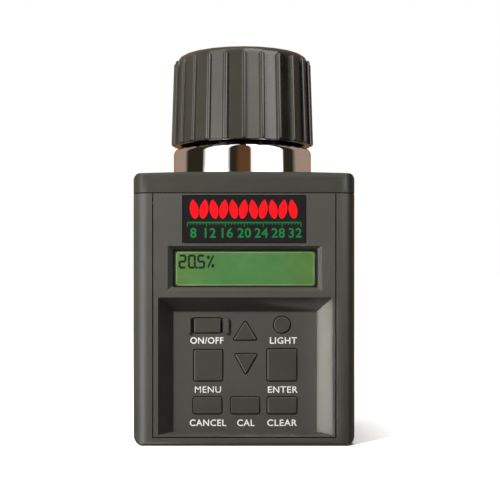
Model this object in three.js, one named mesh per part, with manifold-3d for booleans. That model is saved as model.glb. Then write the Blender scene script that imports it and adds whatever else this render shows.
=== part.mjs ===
// Grain moisture meter: hand-held, with a chromed test cell and a ribbed screw cap.
// Millimetres, +Z up, the keypad and display face -Y.
import * as THREE from 'three';
import { mergeVertices } from 'three/addons/utils/BufferGeometryUtils.js';
import Module from 'manifold-3d';

const wasm = await Module();
wasm.setup();

// ---- driving dimensions ----
const GAP = 0.3; // running and parting clearance
const BODY_W = 84.4;
const BODY_D = 72;
const BODY_H = 103;
const CROWN = 0.6; // rise of the top cover at its middle
const FRONT = -BODY_D / 2;
const REAR = BODY_D / 2;
const WALL = 2.5;
const EDGE_FRONT = 6; // radius of the front upright edges
const EDGE_REAR = 12;
const CORNER_TOP = 3;
const CORNER_BOTTOM = 3.8;
const SEAM = 95.4; // height of the joint under the top cover
const PANEL_X = 34.3;
const PANEL_Z0 = 3.4;
const GROOVE = 0.4; // gap round the front panel
const PANEL_TOP = SEAM - 0.2;
const CELL_Y = 2; // axis of the test cell and the cap
const NECK_R = 28.2;
const CELL_R = 24.5;
const BORE_R = 22.5;
const CELL_Z0 = 52.2;
const NECK_TOP = 115.6;
const COLLAR_R = 24;
const COLLAR_TOP = 138;
const LEAD = 24; // four-start quick thread
const STARTS = 4;
const CAP_Z0 = 117;
const CAP_TOP = 153.5;
const CAP_R0 = 27.9;
const CAP_R1 = 26.8;
const CAP_BORE = 25.4;
const CAP_PLATE = 3;
const RIBS = 24;
const RIB_R = 1.1;
const LCD = { x0: -28.9, x1: 29.3, z0: 58.5, z1: 75.4 };
const LENS = { x0: -26.7, x1: 27.5, z0: 60.1, z1: 73.8, front: FRONT + 2, t: 0.9 };
const KEYPAD = { x0: -32.5, x1: 33.3, z0: 4, z1: 56, deep: 8 };
const FLOOR = { x0: -27.1, x1: 28.0, z0: 4.15, z1: 50.3 };
const FLOOR_Y = FRONT + KEYPAD.deep;
const FLOOR_T = 2;
const KEY_PROUD = 0.5;
const KEY_TRAVEL = 1;
const POST_X = 31.2;
const POST_Z = [9, 89];
const POST_END = 20;
const DOOR = { x: 27, z1: 37, t: 2.2 };
const BATTERY = { w: 48.5, h: 26.5, t: 17.5, x: -1.65, y: 22.4, z: 21 };
const KEY_BOARD_Y = -22.9;
const DISPLAY_BOARD_Y = -29.4;
const BOARD_T = 1.6;

// key outlines on the keypad floor, [x, z] corners, anticlockwise
const KEYS = {
  key_on_off: { pts: box2(-19.2, -8.8, 42.1, 47.85), r: 0.5 },
  key_light: { circle: [14.65, 45.25, 3.25] },
  key_up: { pts: [[-4.25, 39.35], [5.2, 39.35], [0.6, 46.95]], r: 0.45 },
  key_down: { pts: [[-3.7, 34.1], [0.75, 26.0], [5.4, 34.1]], r: 0.45 },
  key_menu: { pts: box2(-19.25, -8.1, 23.65, 35.7), r: 0.6 },
  key_enter: { pts: box2(8.9, 20.35, 23.65, 35.95), r: 0.6 },
  key_cancel: { pts: box2(-19.5, -8.4, 11.0, 17.55), r: 0.9 },
  key_cal: { pts: box2(-5.05, 6.1, 11.0, 17.55), r: 0.9 },
  key_clear: { pts: box2(9.0, 20.4, 11.0, 17.55), r: 0.9 },
};

const BLACK = { color: 0x2b2a27, roughness: 0.5, metalness: 0 };
const KEYTOP = { color: 0x24231f, roughness: 0.55, metalness: 0 };
const RUBBER = { color: 0x1b1b1a, roughness: 0.8, metalness: 0 };
const STEEL = { color: 0xb9bab8, roughness: 0.3, metalness: 1 };
const CHROME = { color: 0xe6e4e0, roughness: 0.08, metalness: 1 };
const BRASS = { color: 0xc09a4a, roughness: 0.3, metalness: 1 };
const BOARD = { color: 0x1f5a34, roughness: 0.55, metalness: 0 };

// ---- shape helpers ----
function box2(x0, x1, z0, z1) {
  return [[x0, z0], [x1, z0], [x1, z1], [x0, z1]];
}

function solid(geometry) {
  const plain = geometry.clone();
  plain.deleteAttribute('normal');
  plain.deleteAttribute('uv');
  const merged = mergeVertices(plain, 1e-4);
  const p = merged.attributes.position.array;
  const tris = [];
  let volume = 0;
  const idx = merged.index.array;
  for (let i = 0; i < idx.length; i += 3) {
    const [a, b, c] = [idx[i], idx[i + 1], idx[i + 2]];
    if (a === b || b === c || a === c) continue;
    tris.push(a, b, c);
    const A = new THREE.Vector3().fromArray(p, 3 * a);
    const B = new THREE.Vector3().fromArray(p, 3 * b);
    const C = new THREE.Vector3().fromArray(p, 3 * c);
    volume += A.dot(B.cross(C));
  }
  if (volume < 0) tris.reverse();
  const mesh = new wasm.Mesh({
    numProp: 3,
    vertProperties: new Float32Array(p),
    triVerts: new Uint32Array(tris),
  });
  return new wasm.Manifold(mesh);
}

function join(...parts) {
  return parts.reduce((a, b) => a.add(b));
}

function cut(base, ...tools) {
  return tools.reduce((a, b) => a.subtract(b), base);
}

function piece(name, body, look) {
  const out = body.getMesh();
  const geometry = new THREE.BufferGeometry();
  geometry.setAttribute('position', new THREE.BufferAttribute(out.vertProperties, 3));
  geometry.setIndex(new THREE.BufferAttribute(out.triVerts, 1));
  geometry.computeVertexNormals();
  const mesh = new THREE.Mesh(geometry, new THREE.MeshStandardMaterial(look));
  mesh.name = name;
  return mesh;
}

function block(x0, x1, y0, y1, z0, z1) {
  const g = new THREE.BoxGeometry(x1 - x0, y1 - y0, z1 - z0);
  g.translate((x0 + x1) / 2, (y0 + y1) / 2, (z0 + z1) / 2);
  return solid(g);
}

// convex polygon grown by d on every side
function grow(pts, d) {
  const n = pts.length;
  return pts.map((p, i) => {
    const a = pts[(i + n - 1) % n];
    const b = pts[(i + 1) % n];
    const u = new THREE.Vector2(p[0] - a[0], p[1] - a[1]).normalize();
    const v = new THREE.Vector2(b[0] - p[0], b[1] - p[1]).normalize();
    const k = d / (1 + u.x * v.x + u.y * v.y);
    return [p[0] + k * (u.y + v.y), p[1] - k * (u.x + v.x)];
  });
}

// the same polygon with its corners turned into arcs of radius r
function rounded(pts, r, steps = 4) {
  const n = pts.length;
  const out = [];
  pts.forEach((p, i) => {
    const a = pts[(i + n - 1) % n];
    const b = pts[(i + 1) % n];
    const radius = Array.isArray(r) ? r[i] : r;
    const u = new THREE.Vector2(p[0] - a[0], p[1] - a[1]).normalize();
    const v = new THREE.Vector2(b[0] - p[0], b[1] - p[1]).normalize();
    const turn = Math.atan2(u.x * v.y - u.y * v.x, u.dot(v));
    const back = radius * Math.tan(turn / 2);
    const cx = p[0] - u.x * back - u.y * radius;
    const cy = p[1] - u.y * back + u.x * radius;
    const start = Math.atan2(-u.x, u.y);
    for (let k = 0; k <= steps; k++) {
      const t = start + (turn * k) / steps;
      out.push([cx + radius * Math.cos(t), cy + radius * Math.sin(t)]);
    }
  });
  return out;
}

function ring(cx, cy, r, n = 24) {
  return Array.from({ length: n }, (_, i) => {
    const t = (2 * Math.PI * i) / n;
    return [cx + r * Math.cos(t), cy + r * Math.sin(t)];
  });
}

// skin over a row of equal-length loops of [x, y, z] points
function loft(loops) {
  const n = loops[0].length;
  const pos = loops.flat(2);
  const idx = [];
  for (let s = 0; s + 1 < loops.length; s++) {
    for (let i = 0; i < n; i++) {
      const a = s * n + i;
      const b = s * n + ((i + 1) % n);
      idx.push(a, b, a + n, b, b + n, a + n);
    }
  }
  const last = (loops.length - 1) * n;
  for (let i = 1; i + 1 < n; i++) {
    idx.push(0, i + 1, i);
    idx.push(last, last + i, last + i + 1);
  }
  const g = new THREE.BufferGeometry();
  g.setAttribute('position', new THREE.Float32BufferAttribute(pos, 3));
  g.setIndex(idx);
  return solid(g);
}

// prism or stepped prism along Y: outlines are [x, z] loops, one per depth
function stackY(levels) {
  return loft(levels.map(([y, pts]) => pts.map(([x, z]) => [x, y, z])));
}

function prismY(pts, y0, y1) {
  return stackY([[y0, pts], [y1, pts]]);
}

function prismZ(pts, z0, z1) {
  return loft([z0, z1].map((z) => pts.map(([x, y]) => [x, y, z])));
}

function turned(profile, segments = 48, x = 0, y = CELL_Y) {
  const g = new THREE.LatheGeometry(profile.map(([r, z]) => new THREE.Vector2(r, z)), segments);
  g.rotateX(Math.PI / 2);
  g.translate(x, y, 0);
  return solid(g);
}

// turned shape whose axis runs along Y through (x, z)
function turnedY(profile, x, z, segments = 16) {
  const g = new THREE.LatheGeometry(profile.map(([r, y]) => new THREE.Vector2(r, y)), segments);
  g.translate(x, 0, z);
  return solid(g);
}

// helical ridge of trapezoid section that fades out at both ends
function ridge(root, crest, half, z0, from, sweep) {
  const steps = Math.round(sweep / 18);
  const loops = [];
  for (let i = 0; i <= steps; i++) {
    const turn = (sweep * i) / steps;
    const t = THREE.MathUtils.degToRad(from + turn);
    const z = z0 + (LEAD * turn) / 360;
    const fade = i === 0 || i === steps ? 0.12 : 1;
    const r = root + (crest - root) * fade;
    const section = [[root, -half], [r, -half * 0.45], [r, half * 0.45], [root, half]];
    loops.push(section.map(([q, h]) => [q * Math.cos(t), CELL_Y + q * Math.sin(t), z + h]));
  }
  return loft(loops);
}

function rod(points, radius, sides = 8, spans = 40) {
  const path = new THREE.CatmullRomCurve3(points.map((p) => new THREE.Vector3(...p)));
  const round = new THREE.Shape(ring(0, 0, radius, sides).map((p) => new THREE.Vector2(...p)));
  return solid(new THREE.ExtrudeGeometry(round, { steps: spans, extrudePath: path }));
}

// ---- housing ----
function plan() {
  const w = BODY_W / 2;
  const pts = [[-w, FRONT], [w, FRONT], [w, REAR], [-w, REAR]];
  return rounded(pts, [EDGE_FRONT, EDGE_FRONT, EDGE_REAR, EDGE_REAR], 7);
}

// front view of the body: crowned top, rounded corners
function face(inset) {
  const w = BODY_W / 2 - inset;
  const top = BODY_H - inset;
  const pts = [];
  const lower = rounded(box2(-w, w, inset, top), CORNER_BOTTOM - inset * 0.6, 5).slice(0, 12);
  const upper = rounded(box2(-w, w, inset, top), CORNER_TOP - inset * 0.6, 5).slice(12);
  pts.push(...lower, ...upper.slice(0, 6));
  const half = upper[5][0];
  for (let i = 1; i < 8; i++) {
    const x = half * (1 - i / 4);
    pts.push([x, top + CROWN * (1 - (x / half) ** 2)]);
  }
  pts.push(...upper.slice(6));
  return pts;
}

function envelope() {
  const edge = 1.8;
  const levels = [];
  for (let i = 0; i <= 3; i++) {
    const t = (Math.PI / 2) * (i / 3);
    levels.push([FRONT + edge * (1 - Math.cos(t)), face(edge * (1 - Math.sin(t)))]);
  }
  const rear = levels.map(([y, pts]) => [-y, pts]).reverse();
  return stackY([...levels, ...rear]).intersect(prismZ(plan(), -1, BODY_H + 2));
}

function caseTub(shell) {
  const lower = shell.intersect(block(-60, 60, -60, 60, -1, PANEL_TOP));
  const w = BODY_W / 2 - WALL;
  const cavity = [[-w, FRONT + WALL], [w, FRONT + WALL], [w, REAR - WALL], [-w, REAR - WALL]];
  const hollow = prismZ(rounded(cavity, [3.5, 3.5, 9.5, 9.5], 5), WALL, BODY_H + 5);
  const px = PANEL_X + GROOVE;
  const window = block(-px, px, FRONT - 1, FRONT + WALL + 0.2, PANEL_Z0 - GROOVE, BODY_H + 5);
  let tub = cut(lower, hollow, window);
  for (const sx of [-1, 1]) {
    for (const z of POST_Z) {
      const boss = turnedY([[0, POST_END + 0.4], [3.4, POST_END + 0.4], [3.4, 34.5], [0, 34.5]], sx * POST_X, z);
      const rib = block(sx > 0 ? 31.2 : -40, sx > 0 ? 40 : -31.2, 21, 33.8, z - 0.6, z + 0.6);
      tub = join(tub, join(boss, rib).intersect(shell));
      const bore = [[0, POST_END - 1], [1.6, POST_END - 1], [1.6, 33], [3.1, 33], [3.1, REAR + 1], [0, REAR + 1]];
      tub = cut(tub, turnedY(bore, sx * POST_X, z));
    }
  }
  const dx = DOOR.x + GAP;
  const opening = block(-dx, dx, REAR - WALL - 0.5, REAR + 1, -1, DOOR.z1 + GAP);
  const grooves = block(-dx - 1.1, dx + 1.1, REAR - 1.9, REAR - 0.6, -1, DOOR.z1 + GAP);
  return cut(tub, opening, grooves);
}

function topCover(shell) {
  const upper = shell.intersect(block(-60, 60, -60, 60, SEAM + 0.15, BODY_H + 3));
  const w = BODY_W / 2 - WALL;
  const cavity = [[-w, FRONT + WALL], [w, FRONT + WALL], [w, REAR - WALL], [-w, REAR - WALL]];
  let cover = cut(upper, prismZ(rounded(cavity, [3.5, 3.5, 9.5, 9.5], 5), SEAM - 1, 100.2));
  for (const s of [-1, 1]) {
    const [a, b] = s > 0 ? [37.3, 38.6] : [-38.6, -37.3];
    cover = join(cover, block(a, b, -6, 6, 90, 100.5));
  }
  cover = join(cover, block(-8, 8, -33.1, -31.8, 91.5, 100.5));
  cover = cut(cover, turned([[0, 90], [NECK_R + 0.45, 90], [NECK_R + 0.45, 106], [0, 106]], 64));
  for (let i = 0; i < 4; i++) {
    const [x, y] = cellScrewPlace(i);
    cover = cut(cover, turned([[0, 99], [1.1, 99], [1.1, 102], [0, 102]], 8, x, y));
  }
  return cover;
}

function keyOutline(key, d) {
  if (key.circle) return ring(key.circle[0], key.circle[1], key.circle[2] + d, 24);
  return rounded(grow(key.pts, d), key.r + Math.max(d, -0.3) * 0.8, 2);
}

function frontPanel() {
  const back = FLOOR_Y + FLOOR_T;
  const slab = block(-PANEL_X, PANEL_X, FRONT, FRONT + WALL, PANEL_Z0, PANEL_TOP);
  const wide = rounded(box2(-34.1, 34.1, PANEL_Z0, 57.9), 2, 3);
  const tight = rounded(box2(FLOOR.x0 - 2, FLOOR.x1 + 2, PANEL_Z0, FLOOR.z1 + 2), 2, 3);
  const bucket = stackY([[FRONT + WALL - 0.5, wide], [back, tight]]);
  let panel = join(slab, bucket);
  for (const sx of [-1, 1]) {
    for (const z of POST_Z) {
      panel = join(panel, turnedY([[0, -34], [3, -34], [3, POST_END], [0, POST_END]], sx * POST_X, z));
      panel = cut(panel, turnedY([[0, 4], [1.55, 4], [1.55, 21], [0, 21]], sx * POST_X, z));
    }
  }
  const slope = (FLOOR.x0 - KEYPAD.x0) / KEYPAD.deep;
  const rim = rounded(box2(KEYPAD.x0 - slope, KEYPAD.x1 + slope, KEYPAD.z0 - 0.04, KEYPAD.z1 + 0.69), 0.5, 2);
  const sole = rounded(box2(FLOOR.x0, FLOOR.x1, FLOOR.z0, FLOOR.z1), 0.3, 2);
  const recess = stackY([[FRONT - 1, rim], [FLOOR_Y, sole]]);
  panel = cut(panel, recess);
  const mouth = rounded(box2(LCD.x0, LCD.x1, LCD.z0, LCD.z1), 0.4, 4);
  const seat = rounded(grow(box2(LENS.x0, LENS.x1, LENS.z0, LENS.z1), 0.35), 0.7, 4);
  const window = stackY([[FRONT - 0.5, mouth], [FRONT, mouth], [LENS.front - 0.1, seat], [FRONT + 4, seat]]);
  const tray = block(-23.4, 23.4, FRONT - 1, FRONT + 0.6, 76.35, 94.55);
  panel = cut(panel, window, tray);
  for (const key of Object.values(KEYS)) {
    panel = cut(panel, prismY(keyOutline(key, GAP), FLOOR_Y - 2, back + 1));
  }
  panel = cut(panel, block(-20.2, -7.75, FLOOR_Y - 2, FLOOR_Y + 0.9, 42.1, 47.85)); // finger slots beside on/off
  const guards = [[-21.75, -20.5], [-7.4, -5.9]];
  for (const [x0, x1] of guards) {
    panel = join(panel, prismY(rounded(box2(x0, x1, 42.1, 47.85), 0.35, 2), FLOOR_Y - 1.5, FLOOR_Y + 0.5));
  }
  for (const [x, z] of KEY_BOARD_SCREWS) {
    panel = join(panel, turnedY([[0, back - 0.5], [2.2, back - 0.5], [2.2, KEY_BOARD_Y - 0.3], [0, KEY_BOARD_Y - 0.3]], x, z, 14));
    panel = cut(panel, turnedY([[0, back - 0.8], [1.05, back - 0.8], [1.05, KEY_BOARD_Y], [0, KEY_BOARD_Y]], x, z, 12));
  }
  for (const [x, z] of DISPLAY_SCREWS) {
    const end = DISPLAY_BOARD_Y - 0.3;
    panel = join(panel, turnedY([[0, -34], [2, -34], [2, end], [0, end]], x, z, 14));
    panel = cut(panel, turnedY([[0, -33.6], [1.05, -33.6], [1.05, end + 1], [0, end + 1]], x, z, 12));
  }
  return panel;
}

// ---- display ----
const DISPLAY_SCREWS = [[-24, 84], [24, 84], [-24, 90.5], [24, 90.5]].slice(0, 2);
const KEY_BOARD_SCREWS = [[-25.2, 22], [25.2, 22], [-25.2, 38.5], [25.2, 38.5]];

function label() {
  return prismY(rounded(box2(-23.1, 23.1, 76.6, 94.3), 0.6, 3), FRONT + 0.05, FRONT + 0.3);
}

function lens() {
  const pts = rounded(box2(LENS.x0, LENS.x1, LENS.z0, LENS.z1), 0.5, 3);
  return prismY(pts, LENS.front, LENS.front + LENS.t);
}

function lcdGlass() {
  return block(-28.6, 29.4, -32.8, -31.1, 59, 75.2);
}

function lcdFrame() {
  const outer = block(-31, 31.8, -33.2, -30.4, 57.7, 77);
  const hole = block(-28.9, 29.7, -34, -30, 58.7, 75.5);
  return cut(outer, hole);
}

function backlight() {
  return block(-28.2, 29, -30.8, -29.9, 59.4, 74.8);
}

function displayBoard() {
  let board = block(-31.5, 31.5, DISPLAY_BOARD_Y, DISPLAY_BOARD_Y + BOARD_T, 57, 85.8);
  for (const [x, z] of DISPLAY_SCREWS) {
    board = cut(board, turnedY([[0, -32], [1.3, -32], [1.3, -26], [0, -26]], x, z, 12));
  }
  return board;
}

function keyBoard() {
  let board = block(-27.6, 27.6, KEY_BOARD_Y, KEY_BOARD_Y + BOARD_T, 5, 51.5);
  for (const [x, z] of KEY_BOARD_SCREWS) {
    board = cut(board, turnedY([[0, -25], [1.3, -25], [1.3, -19], [0, -19]], x, z, 12));
  }
  return board;
}

function contactSheet() {
  let sheet = block(-22.7, 22.7, -23.75, -23.2, 8, 50);
  return sheet;
}

function ribbon() {
  const mid = [[-27.4, 62], [-27.1, 62], [-27.1, 57.6], [-20.6, 53.4], [-20.6, 44], [-20.9, 44], [-20.9, 53.2], [-27.4, 57.4]];
  const shape = new THREE.Shape(mid.map((p) => new THREE.Vector2(...p)));
  const g = new THREE.ExtrudeGeometry(shape, { depth: 6.5, bevelEnabled: false });
  const y = new THREE.Vector3(0, 1, 0);
  const z = new THREE.Vector3(0, 0, 1);
  const x = new THREE.Vector3(1, 0, 0);
  g.applyMatrix4(new THREE.Matrix4().makeBasis(y, z, x));
  g.translate(19.8, 0, 0);
  return solid(g);
}

// ---- keys ----
function keyBody(key) {
  const top = FLOOR_Y - KEY_PROUD;
  const back = FLOOR_Y + FLOOR_T + GAP;
  const levels = [[top, -0.35], [top + 0.35, 0], [back, 0], [back, 0.9], [back + 0.7, 0.9]];
  return stackY(levels.map(([y, d]) => [y, keyOutline(key, d)]));
}

// ---- test cell ----
function cellScrewPlace(i) {
  const t = Math.PI / 4 + (i * Math.PI) / 2;
  return [29.4 * Math.cos(t), CELL_Y + 29.4 * Math.sin(t)];
}

function testCell() {
  const profile = [
    [19, CELL_Z0], [CELL_R, CELL_Z0], [CELL_R, 96], [31.2, 96], [31.2, 98], [NECK_R - 0.6, 98], [NECK_R - 0.6, 100],
    [NECK_R, 100.4], [NECK_R, NECK_TOP - 2.4], [NECK_R - 0.2, NECK_TOP - 1.4], [NECK_R - 0.8, NECK_TOP - 0.5],
    [NECK_R - 1.6, NECK_TOP - 0.1], [NECK_R - 2.2, NECK_TOP], [COLLAR_R, NECK_TOP], [COLLAR_R, COLLAR_TOP - 0.8],
    [COLLAR_R - 0.6, COLLAR_TOP], [BORE_R + 0.4, COLLAR_TOP], [BORE_R, COLLAR_TOP - 0.5], [BORE_R, CELL_Z0 + 2],
    [19, CELL_Z0 + 2], [19, CELL_Z0],
  ];
  let cell = turned(profile, 48);
  for (let i = 0; i < STARTS; i++) {
    cell = join(cell, ridge(COLLAR_R - 0.3, COLLAR_R + 0.9, 1.2, 119.4, i * 90, 252));
  }
  for (let i = 0; i < 4; i++) {
    const [x, y] = cellScrewPlace(i);
    cell = cut(cell, turned([[0, 95], [1.1, 95], [1.1, 99], [0, 99]], 10, x, y));
  }
  return cell;
}

function cellGasket() {
  let g = turned([[28, 98.3], [31.2, 98.3], [31.2, 99.9], [28, 99.9], [28, 98.3]], 36);
  for (let i = 0; i < 4; i++) {
    const [x, y] = cellScrewPlace(i);
    g = cut(g, turned([[0, 97], [1.1, 97], [1.1, 101], [0, 101]], 8, x, y));
  }
  return g;
}

function cellFloor() {
  return turned([[2.9, 54.5], [22.2, 54.5], [22.2, 58.5], [2.9, 58.5], [2.9, 54.5]], 32);
}

function electrode() {
  return turned([[0, 48], [2.2, 48], [2.6, 48.4], [2.6, 58.8], [7, 58.8], [7, 86], [5.4, 89.2], [2.8, 90.8], [0, 91.2]], 24);
}

function electrodeNut() {
  const hex = ring(0, CELL_Y, 5.2, 6);
  return cut(prismZ(hex, 50.2, 54.2), turned([[0, 49], [2.95, 49], [2.95, 55], [0, 55]], 14));
}

// ---- cap ----
// turned piece of the press that hangs from the cap, with its heights below the cap's top
function hung(profile, segments) {
  return turned(profile.map(([r, drop]) => [r, CAP_TOP - drop]), segments);
}

function capShell() {
  const outer = [[0, CAP_Z0], [CAP_R0, CAP_Z0]];
  const f = 3; // top edge fillet
  for (let i = 0; i <= 4; i++) {
    const t = (Math.PI / 2) * (i / 4);
    outer.push([CAP_R1 - f + f * Math.cos(t), CAP_TOP - f + f * Math.sin(t)]);
  }
  outer.push([0, CAP_TOP]);
  let cap = turned(outer, 48);
  for (let i = 0; i < RIBS; i++) cap = join(cap, capRib((i * 2 * Math.PI) / RIBS - Math.PI / 2));
  const under = CAP_TOP - CAP_PLATE;
  const hollow = [[0, CAP_Z0 - 1], [CAP_BORE, CAP_Z0 - 1], [CAP_BORE, under - 4], [CAP_BORE - 3.5, under], [0, under]];
  cap = cut(cap, turned(hollow, 48));
  const seat = CAP_TOP - 1.2;
  const hole = [[0, under - 1], [5.9, under - 1], [5.9, seat], [8.6, seat], [8.6, CAP_TOP + 1], [0, CAP_TOP + 1]];
  cap = cut(cap, turned(hole, 24));
  for (let i = 0; i < STARTS; i++) {
    cap = join(cap, ridge(CAP_BORE + 0.3, CAP_BORE - 0.8, 1.0, 122.4, i * 90, 84));
  }
  return cap;
}

function capRib(angle) {
  const z0 = CAP_Z0 + 0.1;
  const z1 = CAP_TOP - 3.2;
  const at = (z) => CAP_R0 + ((CAP_R1 - CAP_R0) * (z - CAP_Z0)) / (CAP_TOP - 3 - CAP_Z0) - 0.1;
  const levels = [[z0, 0.8], [z0 + 0.3, 1], [z1, 1], [z1 + 0.7, 0.75], [z1 + 1.1, 0.25]];
  return loft(levels.map(([z, k]) => {
    const c = at(z);
    return ring(0, 0, RIB_R * k, 8).map(([u, v]) => {
      const x = (c + v) * Math.cos(angle) - u * Math.sin(angle);
      const y = (c + v) * Math.sin(angle) + u * Math.cos(angle);
      return [x, CELL_Y + y, z];
    });
  }));
}

function plungerBush() {
  return hung([
    [2.9, 14], [5.5, 14], [5.5, 0.9], [8.2, 0.9], [8.2, 0.1], [4.3, 0.1], [4.3, 5.6], [2.9, 5.6], [2.9, 14],
  ], 24);
}

function bushRing() {
  return hung([[5.8, 4.6], [8.4, 4.6], [8.4, 3.4], [5.8, 3.4], [5.8, 4.6]], 24);
}

function indicatorPin() {
  return hung([[0, 22], [2.6, 22], [2.6, 5.3], [4, 5.3], [4, 3.4], [3.6, 3], [0, 3]], 20);
}

function pressurePlate() {
  return hung([
    [2, 26], [21, 26], [21.8, 25.2], [21.8, 24.1], [21.2, 23.5], [5.4, 23.5], [5.4, 22.3], [2, 22.3], [2, 26],
  ], 40);
}

function plateScrew() {
  return hung([[0, 27.4], [2.4, 27.4], [3.2, 26.8], [3.2, 26.3], [1.6, 26.3], [1.6, 22.3], [0, 22.3]], 20);
}

function plateSpring() {
  const turns = 5;
  const z0 = CAP_TOP - 22.4;
  const z1 = CAP_TOP - 5.8;
  const pts = [];
  const n = turns * 10;
  for (let i = 0; i <= n; i++) {
    const t = (i / n) * turns * 2 * Math.PI;
    pts.push([7.6 * Math.cos(t), CELL_Y + 7.6 * Math.sin(t), z0 + ((z1 - z0) * i) / n]);
  }
  return rod(pts, 0.6, 6, 70);
}

// ---- battery compartment ----
function batteryDoor(shell) {
  const slabY = REAR - DOOR.t;
  let door = shell.intersect(block(-DOOR.x, DOOR.x, slabY, REAR + 1, -1, DOOR.z1));
  for (const s of [-1, 1]) {
    const [a, b] = s > 0 ? [DOOR.x - 1, DOOR.x + 1] : [-DOOR.x - 1, -DOOR.x + 1];
    door = join(door, block(a, b, REAR - 1.6, REAR - 0.9, 5, DOOR.z1 - 1));
  }
  for (let i = 0; i < 5; i++) {
    door = cut(door, block(-9, 9, REAR - 0.6, REAR + 1, 27 + i * 1.6, 27.8 + i * 1.6));
  }
  return door;
}

function batteryTray() {
  const b = BATTERY;
  const [x0, x1] = [-27.3, 27.3];
  const [z0, z1] = [b.z - b.h / 2 - 1.6, b.z + b.h / 2 + 1.6];
  const outer = block(x0, x1, b.y - b.t / 2 - 1.6, REAR - WALL - 0.7, z0, z1);
  const inner = block(x0 + 1, x1 - 1, b.y - b.t / 2 - 0.4, REAR, z0 + 1.2, z1 - 1.2);
  const slot = block(x1 - 2, x1 + 1, 17, 30, b.z - 5, b.z + 5);
  return cut(outer, inner, slot);
}

function battery() {
  const b = BATTERY;
  const pts = rounded(box2(b.y - b.t / 2, b.y + b.t / 2, b.z - b.h / 2, b.z + b.h / 2), 1.5, 3);
  const body = loft([b.x - b.w / 2, b.x + b.w / 2 - 2].map((x) => pts.map(([y, z]) => [x, y, z])));
  const studs = [-6.35, 6.35].map((dz) => {
    const end = b.x + b.w / 2;
    return loft([end - 2.5, end + 0.8].map((x) => ring(b.y, b.z + dz, 2.8, 14).map(([y, z]) => [x, y, z])));
  });
  return join(body, ...studs);
}

function batterySnap() {
  const b = BATTERY;
  const x = b.x + b.w / 2 + 1.2;
  return block(x, x + 2.2, b.y - 6, b.y + 6, b.z - 12.6, b.z + 12.6);
}

function lead(dz) {
  const b = BATTERY;
  const x = b.x + b.w / 2 + 3.8;
  return rod([
    [x, 22 + dz, b.z + dz], [x + 4, 20 + dz, b.z + dz], [x + 4.6, 8, b.z + dz + 2],
    [x + 0.5, -10, b.z + dz + 3], [18 - dz, -20.2, b.z + dz * 2 + 8],
  ], 0.6, 6, 16);
}

// ---- screws ----
function screwY(x, z, headY, out, headR, headT, shankR, length) {
  const dir = out; // +1: the head faces +Y
  const y = (d) => headY - dir * d;
  const body = turnedY([
    [0, y(0)], [headR * 0.8, y(0)], [headR, y(headT * 0.4)], [headR, y(headT)], [shankR, y(headT)],
    [shankR, y(headT + length)], [0, y(headT + length)],
  ], x, z, 14);
  if (headR < 2.2) return body;
  const far = y(-1);
  const near = y(headT * 0.55);
  const [y0, y1] = [Math.min(far, near), Math.max(far, near)];
  const arm = headR * 0.55;
  const w = headR * 0.16;
  return cut(body, block(x - arm, x + arm, y0, y1, z - w, z + w), block(x - w, x + w, y0, y1, z - arm, z + arm));
}

function cellScrew(i) {
  const [x, y] = cellScrewPlace(i);
  return turned([[0, 93.9], [1.4, 93.9], [1.8, 94.4], [1.8, 95.7], [0.8, 95.7], [0.8, 101.6], [0, 101.6]], 10, x, y);
}

// ---- assembly ----
const group = new THREE.Group();
const shell = envelope();
const add = (name, body, look) => group.add(piece(name, body, look));

add('case_tub', caseTub(shell), BLACK);
add('front_panel', frontPanel(), BLACK);
add('top_cover', topCover(shell), BLACK);
add('name_label', label(), { color: 0x211c20, roughness: 0.35, metalness: 0 });
add('lcd_lens', lens(), { color: 0xbfd8b4, roughness: 0.05, metalness: 0 });
add('lcd_glass', lcdGlass(), { color: 0x5f9a52, roughness: 0.2, metalness: 0 });
add('lcd_frame', lcdFrame(), STEEL);
add('lcd_backlight', backlight(), { color: 0xe8eee0, roughness: 0.5, metalness: 0 });
add('display_board', displayBoard(), BOARD);
add('key_board', keyBoard(), BOARD);
add('key_contact_sheet', contactSheet(), RUBBER);
add('board_ribbon', ribbon(), { color: 0xb07a3a, roughness: 0.5, metalness: 0 });
for (const [name, key] of Object.entries(KEYS)) add(name, keyBody(key), KEYTOP);
add('test_cell', testCell(), CHROME);
add('cell_gasket', cellGasket(), RUBBER);
add('cell_floor', cellFloor(), { color: 0xdedad0, roughness: 0.5, metalness: 0 });
add('centre_electrode', electrode(), STEEL);
add('electrode_nut', electrodeNut(), BRASS);
add('cap', capShell(), { color: 0x1f1e1b, roughness: 0.42, metalness: 0 });
add('plunger_bush', plungerBush(), { color: 0x2a2a2a, roughness: 0.4, metalness: 0 });
add('bush_ring', bushRing(), STEEL);
add('indicator_pin', indicatorPin(), BRASS);
add('pressure_plate', pressurePlate(), STEEL);
add('plate_screw', plateScrew(), STEEL);
add('plate_spring', plateSpring(), STEEL);
add('battery_tray', batteryTray(), BLACK);
add('battery_door', batteryDoor(shell), BLACK);
add('battery', battery(), { color: 0x8f8f8c, roughness: 0.35, metalness: 0.6 });
add('battery_snap', batterySnap(), RUBBER);
add('battery_lead_red', lead(-1.2), { color: 0x9c1f1b, roughness: 0.5, metalness: 0 });
add('battery_lead_black', lead(1.2), RUBBER);
let n = 1;
for (const z of POST_Z) {
  for (const sx of [-1, 1]) {
    add(`case_screw_${n}`, screwY(sx * POST_X, z, 35, 1, 2.7, 1.7, 1.2, 22), STEEL);
    n += 1;
  }
}
KEY_BOARD_SCREWS.forEach(([x, z], i) => {
  const head = KEY_BOARD_Y + BOARD_T + GAP + 1.4;
  add(`key_board_screw_${i + 1}`, screwY(x, z, head, 1, 1.9, 1.4, 0.75, 4), STEEL);
});
DISPLAY_SCREWS.forEach(([x, z], i) => {
  const head = DISPLAY_BOARD_Y + BOARD_T + GAP + 1.4;
  add(`display_board_screw_${i + 1}`, screwY(x, z, head, 1, 1.9, 1.4, 0.75, 4.5), STEEL);
});
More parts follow.
